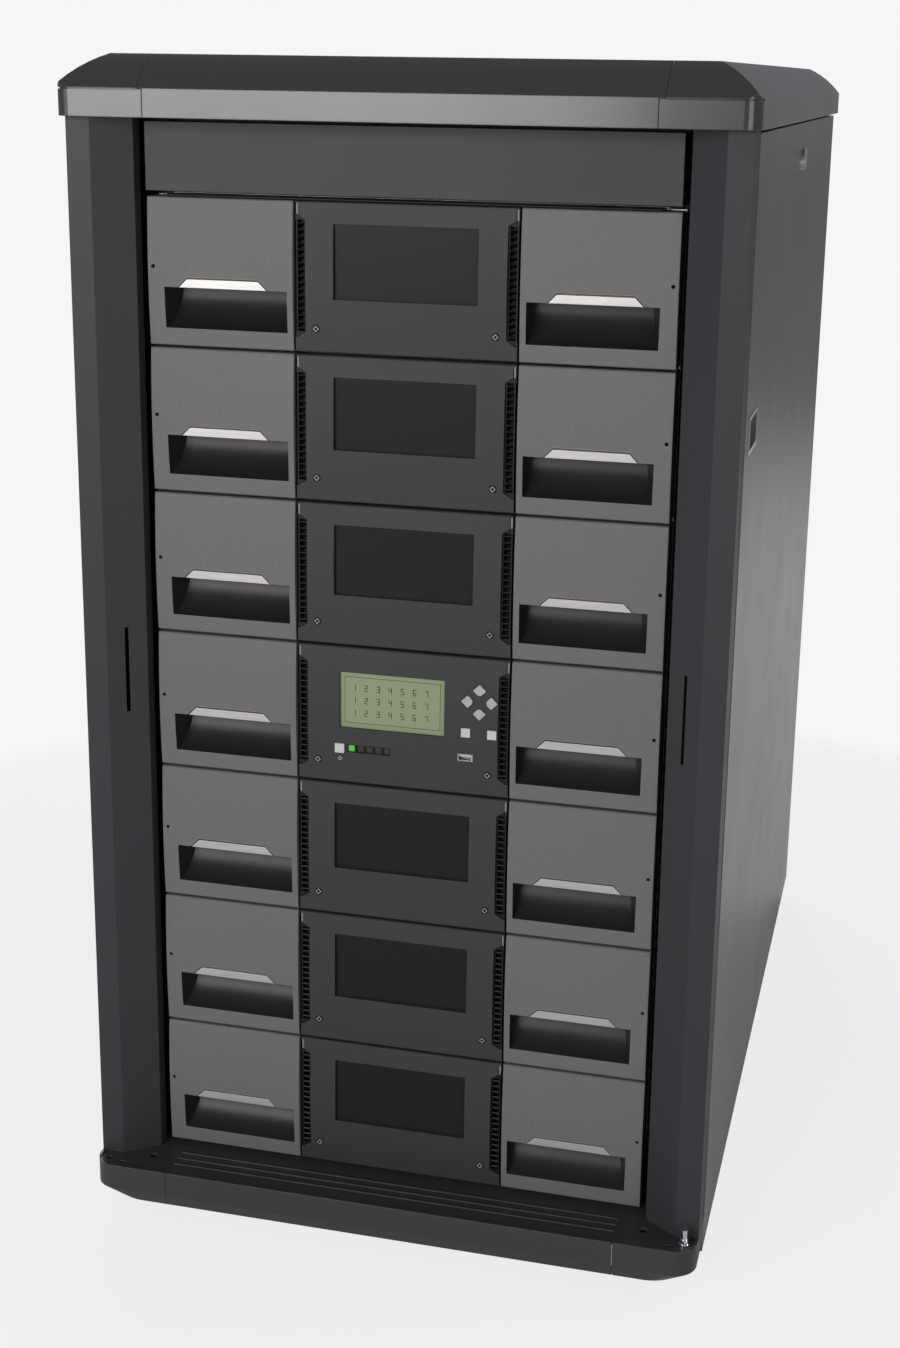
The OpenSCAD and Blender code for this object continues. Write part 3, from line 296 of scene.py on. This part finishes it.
def surface(name, color, rough, *, metal=0.0, spec=0.22, coat=0.0, vary=0.05, smudge=0.05,
            grain=0.0, grain_scale=900.0, bump=0.15, bump_scale=1400.0, stretch=None, ribs=0.0,
            round_edge=0.0, wear=0.0, wear_color=None, glow=None):
    """Moulded, painted or plated surface: colour variation, grain, bump, uneven gloss and worn edges."""
    material = bpy.data.materials.new(name)
    material.use_nodes = True
    k = Nodes(material.node_tree)
    out = k.add("ShaderNodeOutputMaterial")
    shader = k.add("ShaderNodeBsdfPrincipled")
    shader.inputs["Metallic"].default_value = metal
    shader.inputs["Specular IOR Level"].default_value = spec
    if coat:
        shader.inputs["Coat Weight"].default_value = coat
        shader.inputs["Coat Roughness"].default_value = COAT_ROUGHNESS
    rounded = k.add("ShaderNodeBevel")
    rounded.samples = 4
    rounded.inputs["Radius"].default_value = max(round_edge, LEAST_ROUND)
    base = base_color(k, color, vary, grain, grain_scale, stretch)
    if wear:
        base = worn_edges(k, base, rounded, wear, wear_color)
    k.link(base, shader.inputs["Base Color"])
    gloss = k.math("MULTIPLY_ADD", k.noise(SMUDGE_SCALE, 4, 0.55), smudge * 2, rough - smudge)
    k.link(gloss, shader.inputs["Roughness"])
    bumps = relief(k, bump, bump_scale, stretch, ribs)
    if round_edge:
        k.link(rounded.outputs[0], bumps.inputs["Normal"])
    k.link(bumps.outputs[0], shader.inputs["Normal"])
    if glow:
        shader.inputs["Emission Color"].default_value = (*glow, 1)
        shader.inputs["Emission Strength"].default_value = GLOW_STRENGTH
    k.link(shader.outputs[0], out.inputs[0])
    return material


WORN_GREY = (0.2, 0.2, 0.2)
MATERIALS = {
    # painted and moulded casings
    "bezel": surface("bezel", (0.125, 0.119, 0.117), 0.5, grain=0.3, grain_scale=1100, bump=0.3,
                     round_edge=0.8 * MM, wear=0.5, wear_color=WORN_GREY),
    # painted shade: near-black colour for the recessed hand pockets of the grey bezels
    "pocket": surface("pocket", (0.014, 0.014, 0.015), 0.34, grain=0.2, bump=0.12, round_edge=0.6 * MM),
    "centre": surface("centre", (0.034, 0.033, 0.034), 0.5, grain=0.28, grain_scale=1100, bump=0.3,
                      round_edge=0.8 * MM, wear=0.5, wear_color=(0.13, 0.13, 0.13)),
    "frame": surface("frame", (0.03, 0.031, 0.034), 0.42, grain=0.25, grain_scale=1500, bump=0.25,
                     round_edge=1 * MM, wear=0.5, wear_color=(0.12, 0.12, 0.13)),
    "trim": surface("trim", (0.04, 0.04, 0.038), 0.34, grain=0.12, bump=0.12,
                    round_edge=1.2 * MM, wear=0.6, wear_color=WORN_GREY),
    "cap": surface("cap", (0.034, 0.034, 0.033), 0.24, spec=0.4, coat=0.25, grain=0.12, bump=0.1,
                   round_edge=1.2 * MM, wear=0.5, wear_color=WORN_GREY),
    "panel": surface("panel", (0.056, 0.054, 0.05), 0.24, spec=0.4, grain=0.12, grain_scale=1500,
                     bump=0.16, round_edge=1 * MM, wear=0.5, wear_color=WORN_GREY),
    "rail": surface("rail", (0.008, 0.009, 0.014), 0.45, grain=0.2, bump=0.2,
                    wear=0.3, wear_color=(0.08, 0.08, 0.1)),
    "header": surface("header", (0.043, 0.043, 0.042), 0.5, grain=0.22, grain_scale=1300, bump=0.25,
                      round_edge=0.8 * MM, wear=0.6, wear_color=(0.25, 0.25, 0.25)),
    "tray": surface("tray", (0.015, 0.016, 0.018), 0.5, grain=0.2, bump=0.25, round_edge=0.6 * MM),
    "black": surface("black", (0.004, 0.004, 0.005), 0.5, grain=0.2, bump=0.2),
    "window": surface("window", (0.013, 0.013, 0.0135), 0.34, spec=0.1, grain=0.1, bump=0.05, smudge=0.03),
    # painted highlight: light grey strips standing in for lit edges at the front posts and under the cap's
    # skirt
    "painted_edge_highlight": surface("painted_edge_highlight", (0.16, 0.16, 0.15), 0.55, grain=0.15, bump=0.2),
    # keys, painted highlight lines and the display
    "key": surface("key", (0.36, 0.36, 0.365), 0.45, grain=0.1, bump=0.3, round_edge=0.4 * MM, ribs=700),
    "square": surface("square", (0.46, 0.46, 0.46), 0.42, grain=0.1, bump=0.15, round_edge=0.4 * MM),
    # painted highlight: light grey for the lit groove round the inserts and the lit tongues of the louvre
    # strips
    "line": surface("line", (0.2, 0.2, 0.2), 0.45, grain=0.1, bump=0.1),
    "mark": surface("mark", (0.35, 0.35, 0.35), 0.5, grain=0.05, bump=0.05),
    "lcd": surface("lcd", (0.22, 0.255, 0.15), 0.3, grain=0.05, grain_scale=2000, bump=0.02, smudge=0.02),
    "ink": surface("ink", (0.05, 0.06, 0.04), 0.35, grain=0.05, bump=0.02),
    "board": surface("board", (0.02, 0.09, 0.04), 0.4, grain=0.3, grain_scale=300, bump=0.2),
    "cell": surface("cell", (0.03, 0.032, 0.03), 0.3, grain=0.1, bump=0.05),
    "lit": surface("lit", (0.05, 0.3, 0.04), 0.3, grain=0.1, bump=0.05, glow=(0.12, 0.55, 0.08)),
    # metals
    "insert": surface("insert", (0.46, 0.445, 0.435), 0.36, metal=0.7, grain=0.14, grain_scale=500,
                      bump=0.12, bump_scale=900, stretch=(0.04, 1, 1), round_edge=0.4 * MM),
    "chrome": surface("chrome", (0.72, 0.73, 0.75), 0.14, metal=1.0, grain=0.04, bump=0.03, smudge=0.04),
    "steel": surface("steel", (0.42, 0.43, 0.44), 0.36, metal=0.9, vary=0.1, smudge=0.08,
                     grain=0.16, grain_scale=120, bump=0.1),
    "alu": surface("alu", (0.6, 0.61, 0.62), 0.38, metal=0.9, grain=0.1, bump=0.12, stretch=(1, 0.05, 1)),
}

NODE_MATERIALS = {
    "cabinet_frame": "frame",
    "plinth_trim": "trim",
    "cap_trim": "cap",
    "top_panel": "panel",
    "side_panel_left": "panel",
    "side_panel_right": "panel",
    "panel_hardware": "chrome",
    "latch_left": "chrome",
    "latch_right": "chrome",
    "rack_rails": "rail",
    "header_panel": "header",
    "door_hinge_pin": "chrome",
    "levelling_feet": "steel",
    "module_chassis": "steel",
    "centre_bezels": "centre",
    "control_bezel": "centre",
    "vent_grilles": "black",
    "blank_windows": "window",
    "lcd_display": "lcd",
    "control_board": "board",
    "tape_drives": "steel",
    "power_supplies": "steel",
    "robot_lift": "alu",
    "robot_shuttle": "tray",
    "robot_gripper": "alu",
}
ARROW_KEYS = ("key_up", "key_down", "key_left", "key_right")


def material_of(node):
    if node in NODE_MATERIALS:
        return NODE_MATERIALS[node]
    if node.startswith("magazine_tray"):
        return "tray"
    if node.startswith("magazine_bezel"):
        return "bezel"
    return "key" if node in ARROW_KEYS else "square"


def dress(node):
    mesh = cad_nodes[node].data
    mesh.materials.clear()
    mesh.materials.append(MATERIALS[material_of(node)])
    for polygon in mesh.polygons:
        polygon.material_index = 0


def repaint(node, material, test):
    """Gives the faces of a CAD node whose middle passes a test another material."""
    mesh = cad_nodes[node].data
    mesh.materials.append(MATERIALS[material])
    for polygon in mesh.polygons:
        if test(polygon.center):
            polygon.material_index = len(mesh.materials) - 1


def solids(mesh):
    """Face lists of the separate solids of a mesh, found through shared positions."""
    spots = {}
    spot_of = []
    for vertex in mesh.vertices:
        place = tuple(round(c, 6) for c in vertex.co)
        spot_of.append(spots.setdefault(place, len(spots)))
    parent = list(range(len(spots)))

    def root(spot):
        while parent[spot] != spot:
            parent[spot] = parent[parent[spot]]
            spot = parent[spot]
        return spot

    for polygon in mesh.polygons:
        first = root(spot_of[polygon.vertices[0]])
        for vertex in polygon.vertices[1:]:
            parent[root(spot_of[vertex])] = first
    found = {}
    for polygon in mesh.polygons:
        found.setdefault(root(spot_of[polygon.vertices[0]]), []).append(polygon.index)
    return list(found.values())


for node in cad_nodes:
    dress(node)


# ---------------------------------------------------------------- places on the modules

rows = {i: box(f"magazine_bezel_right_{i}") for i in range(1, 8)}     # corners of the right-hand bezels
FACE_Y = rows[1][0].y
BEZEL_HEIGHT = rows[1][1].z - rows[1][0].z
FACE_CROWN = 2.5 * MM                # how far a bezel's face stands out in the middle of its height
POCKET_X = (5.5 * MM, 120.5 * MM)    # from the bezel's inner end
POCKET_Z = (15.5 * MM, 52.0 * MM)    # from the bezel's lower edge
POCKET_Y = (1.6 * MM, 24.3 * MM)     # from the bezel's face
POCKET_EDGE = 0.2 * MM

control_top = rows[CONTROL_ROW][1].z
LIGHT_X, LIGHT_Z = -48.6 * MM, control_top - 97 * MM     # first of the status lights
LIGHT_PITCH = 8.4 * MM
LIGHT_COUNT = 5
LIGHT_HALF = 3.4 * MM
SOCKET_X, SOCKET_Z = 60 * MM, control_top - 95 * MM
SOCKET_HALF = (7.2 * MM, 3.5 * MM)
PIPE_END_Y = FACE_Y + 11.9 * MM      # light pipes and socket stand in front of this, the board behind
TONGUE_TOP, TONGUE_HEIGHT = 10.8 * MM, 11 * MM           # tongues at the top of the louvre strips, painted light grey as a highlight


def crown(z, i):
    """Set-back of a bezel's cylindrical face at a height, in a module's row."""
    half = BEZEL_HEIGHT / 2
    radius = (half ** 2 + FACE_CROWN ** 2) / (2 * FACE_CROWN)
    from_middle = z - (rows[i][0].z + rows[i][1].z) / 2
    return radius - math.sqrt(max(0.0, radius ** 2 - from_middle ** 2))


def paint_bezel(side, s, i):
    """Hand pocket darkened with painted shade; the bright insert is the smaller of the bezel's two solids.
    """
    node = f"magazine_bezel_{side}_{i}"
    corner = rows[i][0]

    def in_pocket(c):
        x, y, z = s * c.x - corner.x, c.y - FACE_Y, c.z - corner.z
        return (POCKET_X[0] - POCKET_EDGE < x < POCKET_X[1] + POCKET_EDGE
                and POCKET_Y[0] < y < POCKET_Y[1]
                and POCKET_Z[0] - POCKET_EDGE < z < POCKET_Z[1] + POCKET_EDGE)

    # painted shade: the pocket's faces get the near-black pocket material
    repaint(node, "pocket", in_pocket)
    mesh = cad_nodes[node].data
    insert = min(solids(mesh), key=len)
    mesh.materials.append(MATERIALS["insert"])
    for index in insert:
        mesh.polygons[index].material_index = len(mesh.materials) - 1


def in_front_of_board(c, x, z, half_x, half_z):
    return abs(c.x - x) < half_x and abs(c.z - z) < half_z and c.y < PIPE_END_Y


def in_light(c, n):
    return in_front_of_board(c, LIGHT_X + n * LIGHT_PITCH, LIGHT_Z, LIGHT_HALF, LIGHT_HALF)


def in_tongue(c):
    return any(0 < c.z - (high.z - TONGUE_TOP) < TONGUE_HEIGHT for low, high in rows.values())


for side, s in SIDES:
    for i in rows:
        paint_bezel(side, s, i)
repaint("control_board", "cell", lambda c: any(in_light(c, n) for n in range(1, LIGHT_COUNT)))
repaint("control_board", "lit", lambda c: in_light(c, 0))
repaint("control_board", "steel", lambda c: in_front_of_board(c, SOCKET_X, SOCKET_Z, *SOCKET_HALF))
# painted highlight: the tongues of the louvre strips get the light line material
repaint("vent_grilles", "line", in_tongue)


# ---------------------------------------------------------------- mesh tools

def piece(name, bm, material, body=ROOT):
    """Turns mesh code into a piece that rides on a body."""
    bmesh.ops.recalc_face_normals(bm, faces=bm.faces)
    mesh = bpy.data.meshes.new(name)
    bm.to_mesh(mesh)
    bm.free()
    mesh.materials.append(MATERIALS[material])
    ob = add_object(name, mesh)
    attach(ob, body)


def prism(bm, outline, y0, y1, place=(0, 0)):
    """Closed solid with an outline in X and Z between two depths."""
    front = [bm.verts.new((place[0] + x, y0, place[1] + z)) for x, z in outline]
    back = [bm.verts.new((place[0] + x, y1, place[1] + z)) for x, z in outline]
    bm.faces.new(front)
    bm.faces.new(list(reversed(back)))
    for n in range(len(outline)):
        m = (n + 1) % len(outline)
        bm.faces.new((front[n], back[n], back[m], front[m]))


def bar(bm, low, high):
    """Box between two corners."""
    outline = [(low[0], low[2]), (high[0], low[2]), (high[0], high[2]), (low[0], high[2])]
    prism(bm, outline, low[1], high[1])


def side_bar(bm, s, low, high):
    """Box between two corners given for the right side, on the side of the sign."""
    x = sorted((s * low[0], s * high[0]))
    bar(bm, (x[0], low[1], low[2]), (x[1], high[1], high[2]))


def ring(bm, centre, r0, r1, y0, y1, sides=32, start=0.0, sweep=2 * math.pi):
    """Ring, or part of one, in X and Z."""
    closed = sweep >= 2 * math.pi - 1e-6
    count = sides if closed else sides + 1
    loops = []
    for n in range(count):
        angle = start + sweep * n / sides
        c, s = math.cos(angle), math.sin(angle)
        corners = ((r0, y0), (r1, y0), (r1, y1), (r0, y1))
        loops.append([bm.verts.new((centre[0] + r * c, y, centre[1] + r * s)) for r, y in corners])
    for n in range(sides):
        a, b = loops[n], loops[(n + 1) % count]
        for m in range(4):
            bm.faces.new((a[m], a[(m + 1) % 4], b[(m + 1) % 4], b[m]))
    if not closed:
        bm.faces.new(loops[0])
        bm.faces.new(list(reversed(loops[-1])))


def lathe(bm, centre, profile, sides=24):
    """Turned piece about an axis along Y; profile is (radius, y)."""
    angles = [2 * math.pi * n / sides for n in range(sides)]
    loops = [[bm.verts.new((centre[0] + r * math.cos(a), y, centre[1] + r * math.sin(a))) for a in angles]
             for r, y in profile]
    for a, b in zip(loops, loops[1:]):
        for n in range(sides):
            m = (n + 1) % sides
            bm.faces.new((a[n], a[m], b[m], b[n]))
    bm.faces.new(loops[0])
    bm.faces.new(list(reversed(loops[-1])))


# ---------------------------------------------------------------- small pieces on the front

def quarter_turn(side, s, i):
    """Screw of a centre bezel, with a light diamond outline on its head."""
    x, z = s * 81 * MM, rows[i][0].z + 20.8 * MM
    y = FACE_Y + crown(z, i)
    edge, head = 2.9 * MM, 3.5 * MM
    bm = bmesh.new()
    lathe(bm, (x, z), [(edge, y - 0.7 * MM), (head, y - 0.3 * MM), (head, y + 1.0 * MM)])
    piece(f"quarter_turn_{side}_{i}", bm, "black")
    bm = bmesh.new()
    ring(bm, (x, z), 2.0 * MM, 2.7 * MM, y - 0.85 * MM, y - 0.6 * MM, sides=4)
    piece(f"quarter_turn_mark_{side}_{i}", bm, "mark")


def insert_groove_highlight(side, s, i):
    """Painted highlight: a light line along the groove round the two slants and the top of a bright insert.
    """
    left, width, height = 24.5 * MM, 82 * MM, 7.5 * MM       # the insert, from the bezel's inner end
    gap, line = 1.5 * MM, 0.45 * MM
    low = rows[i][0]
    foot = low.z + POCKET_Z[1]
    rise = height + gap
    start, end = left - gap, left + width + gap
    inner = [(start, foot), (start + rise, foot + rise), (end - rise, foot + rise), (end, foot)]
    outer = [(start - line, foot), (start + rise - line / 2, foot + rise + line),
             (end - rise + line / 2, foot + rise + line), (end + line, foot)]
    y = FACE_Y + crown(foot + rise / 2, i)
    bm = bmesh.new()
    for n in range(3):
        strip = [inner[n], inner[n + 1], outer[n + 1], outer[n]]
        prism(bm, [(s * (low.x + x), z) for x, z in strip], y - 0.12 * MM, y + 0.4 * MM)
    piece(f"insert_edge_{side}_{i}", bm, "line", body=f"magazine_{side}_{i}")


def status_frame():
    """Black frame with dividers round the status lights."""
    y0, y1 = FACE_Y + 0.9 * MM, FACE_Y + 3.4 * MM
    inside, outside = 3.2 * MM, 4.4 * MM
    x0 = LIGHT_X - 5 * MM
    x1 = LIGHT_X + (LIGHT_COUNT - 1) * LIGHT_PITCH + 5 * MM
    bm = bmesh.new()
    bar(bm, (x0, y0, LIGHT_Z + inside), (x1, y1, LIGHT_Z + outside))
    bar(bm, (x0, y0, LIGHT_Z - outside), (x1, y1, LIGHT_Z - inside))
    for n in range(LIGHT_COUNT + 1):
        x = LIGHT_X + (n - 0.5) * LIGHT_PITCH
        bar(bm, (x - 1.0 * MM, y0, LIGHT_Z - inside), (x + 1.0 * MM, y1, LIGHT_Z + inside))
    piece("status_frame", bm, "black")


def power_symbol():
    """Open ring with a bar, below the power button."""
    x, z = -59.5 * MM, LIGHT_Z - 10.5 * MM
    y = FACE_Y + crown(z, CONTROL_ROW)
    y0, y1 = y - 0.1 * MM, y + 0.3 * MM
    bm = bmesh.new()
    ring(bm, (x, z), 1.3 * MM, 1.8 * MM, y0, y1, sides=20, start=math.radians(125), sweep=math.radians(290))
    bar(bm, (x - 0.25 * MM, y0, z + 0.4 * MM), (x + 0.25 * MM, y1, z + 2.2 * MM))
    piece("power_symbol", bm, "mark")


INK_Y = (-0.08 * MM, 0.1 * MM)       # ink on the display, from its front
SEGMENTS = {"1": "cf", "2": "acdeg", "3": "acdfg", "4": "bcdf", "5": "abdfg", "6": "abdefg", "7": "acf"}


def ink_bar(bm, y, x0, z0, x1, z1):
    bar(bm, (x0, y + INK_Y[0], z0), (x1, y + INK_Y[1], z1))


def digit(bm, character, x, y, z):
    w, h, t = 3.2 * MM, 6 * MM, 0.7 * MM                     # width, height, stroke
    places = {
        "a": (0, h - t, w, h), "b": (0, h / 2, t, h), "c": (w - t, h / 2, w, h),
        "d": (0, (h - t) / 2, w, (h + t) / 2),
        "e": (0, 0, t, h / 2), "f": (w - t, 0, w, h / 2), "g": (0, 0, w, t),
    }
    for segment in SEGMENTS[character]:
        x0, z0, x1, z1 = places[segment]
        ink_bar(bm, y, x + x0, z + z0, x + x1, z + z1)


def display():
    """Thin border and three lines of plain digits made of bars."""
    low, high = box("lcd_display")
    inset, line = 6.5 * MM, 0.5 * MM
    x0, x1, z0, z1 = low.x + inset, high.x - inset, low.z + inset, high.z - inset
    bm = bmesh.new()
    ink_bar(bm, low.y, x0, z1 - line, x1, z1)
    ink_bar(bm, low.y, x0, z0, x1, z0 + line)
    ink_bar(bm, low.y, x0, z0, x0 + line, z1)
    ink_bar(bm, low.y, x1 - line, z0, x1, z1)
    for row in range(3):
        for n in range(7):
            digit(bm, str(n + 1), low.x + (14 + n * 11.5) * MM, low.y, high.z - (20 + row * 12) * MM)
    piece("display_digits", bm, "ink")


for i in rows:
    for side, s in SIDES:
        quarter_turn(side, s, i)
for side, s in SIDES:
    for i in rows:
        insert_groove_highlight(side, s, i)
status_frame()
power_symbol()
display()


# ---------------------------------------------------------------- painted edge highlights, painted shade sheets and fan guards

def painted_edge_highlights(side, s):
    """Painted highlights: light strips standing in for the lit edge between a front post and its side
    panel, and for the lit bottom edge of the cap's skirt.
    """
    foot = 58.5 * MM                                         # just above the cabinet's floor
    panel_low, panel_high = box("side_panel_right")
    cap_low, cap_high = box("cap_trim")
    bm = bmesh.new()
    side_bar(bm, s, (panel_high.x - 6 * MM, panel_low.y - 1.9 * MM, foot),
             (panel_high.x + 0.6 * MM, panel_low.y - 0.9 * MM, panel_high.z))
    piece(f"post_painted_highlight_{side}", bm, "painted_edge_highlight")
    bm = bmesh.new()
    side_bar(bm, s, (cap_high.x - 2.2 * MM, panel_low.y + 2 * MM, cap_low.z - 0.1 * MM),
             (cap_high.x + 0.1 * MM, panel_high.y, cap_low.z + 0.9 * MM))
    piece(f"cap_painted_highlight_{side}", bm, "painted_edge_highlight")


def shade_sheets():
    """Painted shade: black sheets behind the front rails' holes and behind the gaps over and under the
    header, where only shade is seen.
    """
    thick = 3 * MM
    rail_low, rail_high = box("rack_rails")
    head_low, head_high = box("header_panel")
    y = head_high.y + 4 * MM
    for side, s in SIDES:
        bm = bmesh.new()
        side_bar(bm, s, (224.5 * MM, y, rail_low.z + 4 * MM), (259 * MM, y + thick, rail_high.z - 2 * MM))
        piece(f"rail_shade_sheet_{side}", bm, "black")
    bm = bmesh.new()
    bar(bm, (-224 * MM, y, head_low.z - 2.6 * MM), (224 * MM, y + thick, head_high.z + 3.5 * MM))
    piece("header_shade_sheet", bm, "black")
    # painted shade: dark strip on the stack's top cover, seen through the gap under the header
    bm = bmesh.new()
    bar(bm, (-221 * MM, head_low.y - 1 * MM, head_low.z - 3.9 * MM), (221 * MM, y, head_low.z - 3 * MM))
    piece("cover_shade_strip", bm, "black")


def fan_guard(name, centre):
    """Three wire rings on a cross of four arms."""
    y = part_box("module_chassis")[1][1] + 2.0 * MM
    wire = 1.0 * MM
    bm = bmesh.new()
    for radius in (5 * MM, 9 * MM, 13 * MM):
        ring(bm, centre, radius - wire / 2, radius + wire / 2, y, y + wire, sides=40)
    for quarter in range(4):
        angle = math.pi / 4 + quarter * math.pi / 2
        along = Vector((math.cos(angle), math.sin(angle)))
        across = Vector((-along.y, along.x)) * wire / 2
        start, end = along * 3 * MM, along * 17 * MM
        outline = [start - across, end - across, end + across, start + across]
        prism(bm, [tuple(corner) for corner in outline], y, y + wire, place=centre)
    piece(name, bm, "steel")


# node, number of fans, place of the first from the node's lowest corner, pitch
FANS = (
    ("tape_drives", 3, (34 * MM, 20.5 * MM), 41 * MM),
    ("power_supplies", 2, (64 * MM, 20 * MM), 40.3 * MM),
)

for side, s in SIDES:
    painted_edge_highlights(side, s)
shade_sheets()
for node, count, (x, z), pitch in FANS:
    corner = box(node)[0]
    for n in range(count):
        fan_guard(f"fan_guard_{node}_{n + 1}", (corner.x + x, corner.z + z + n * pitch))
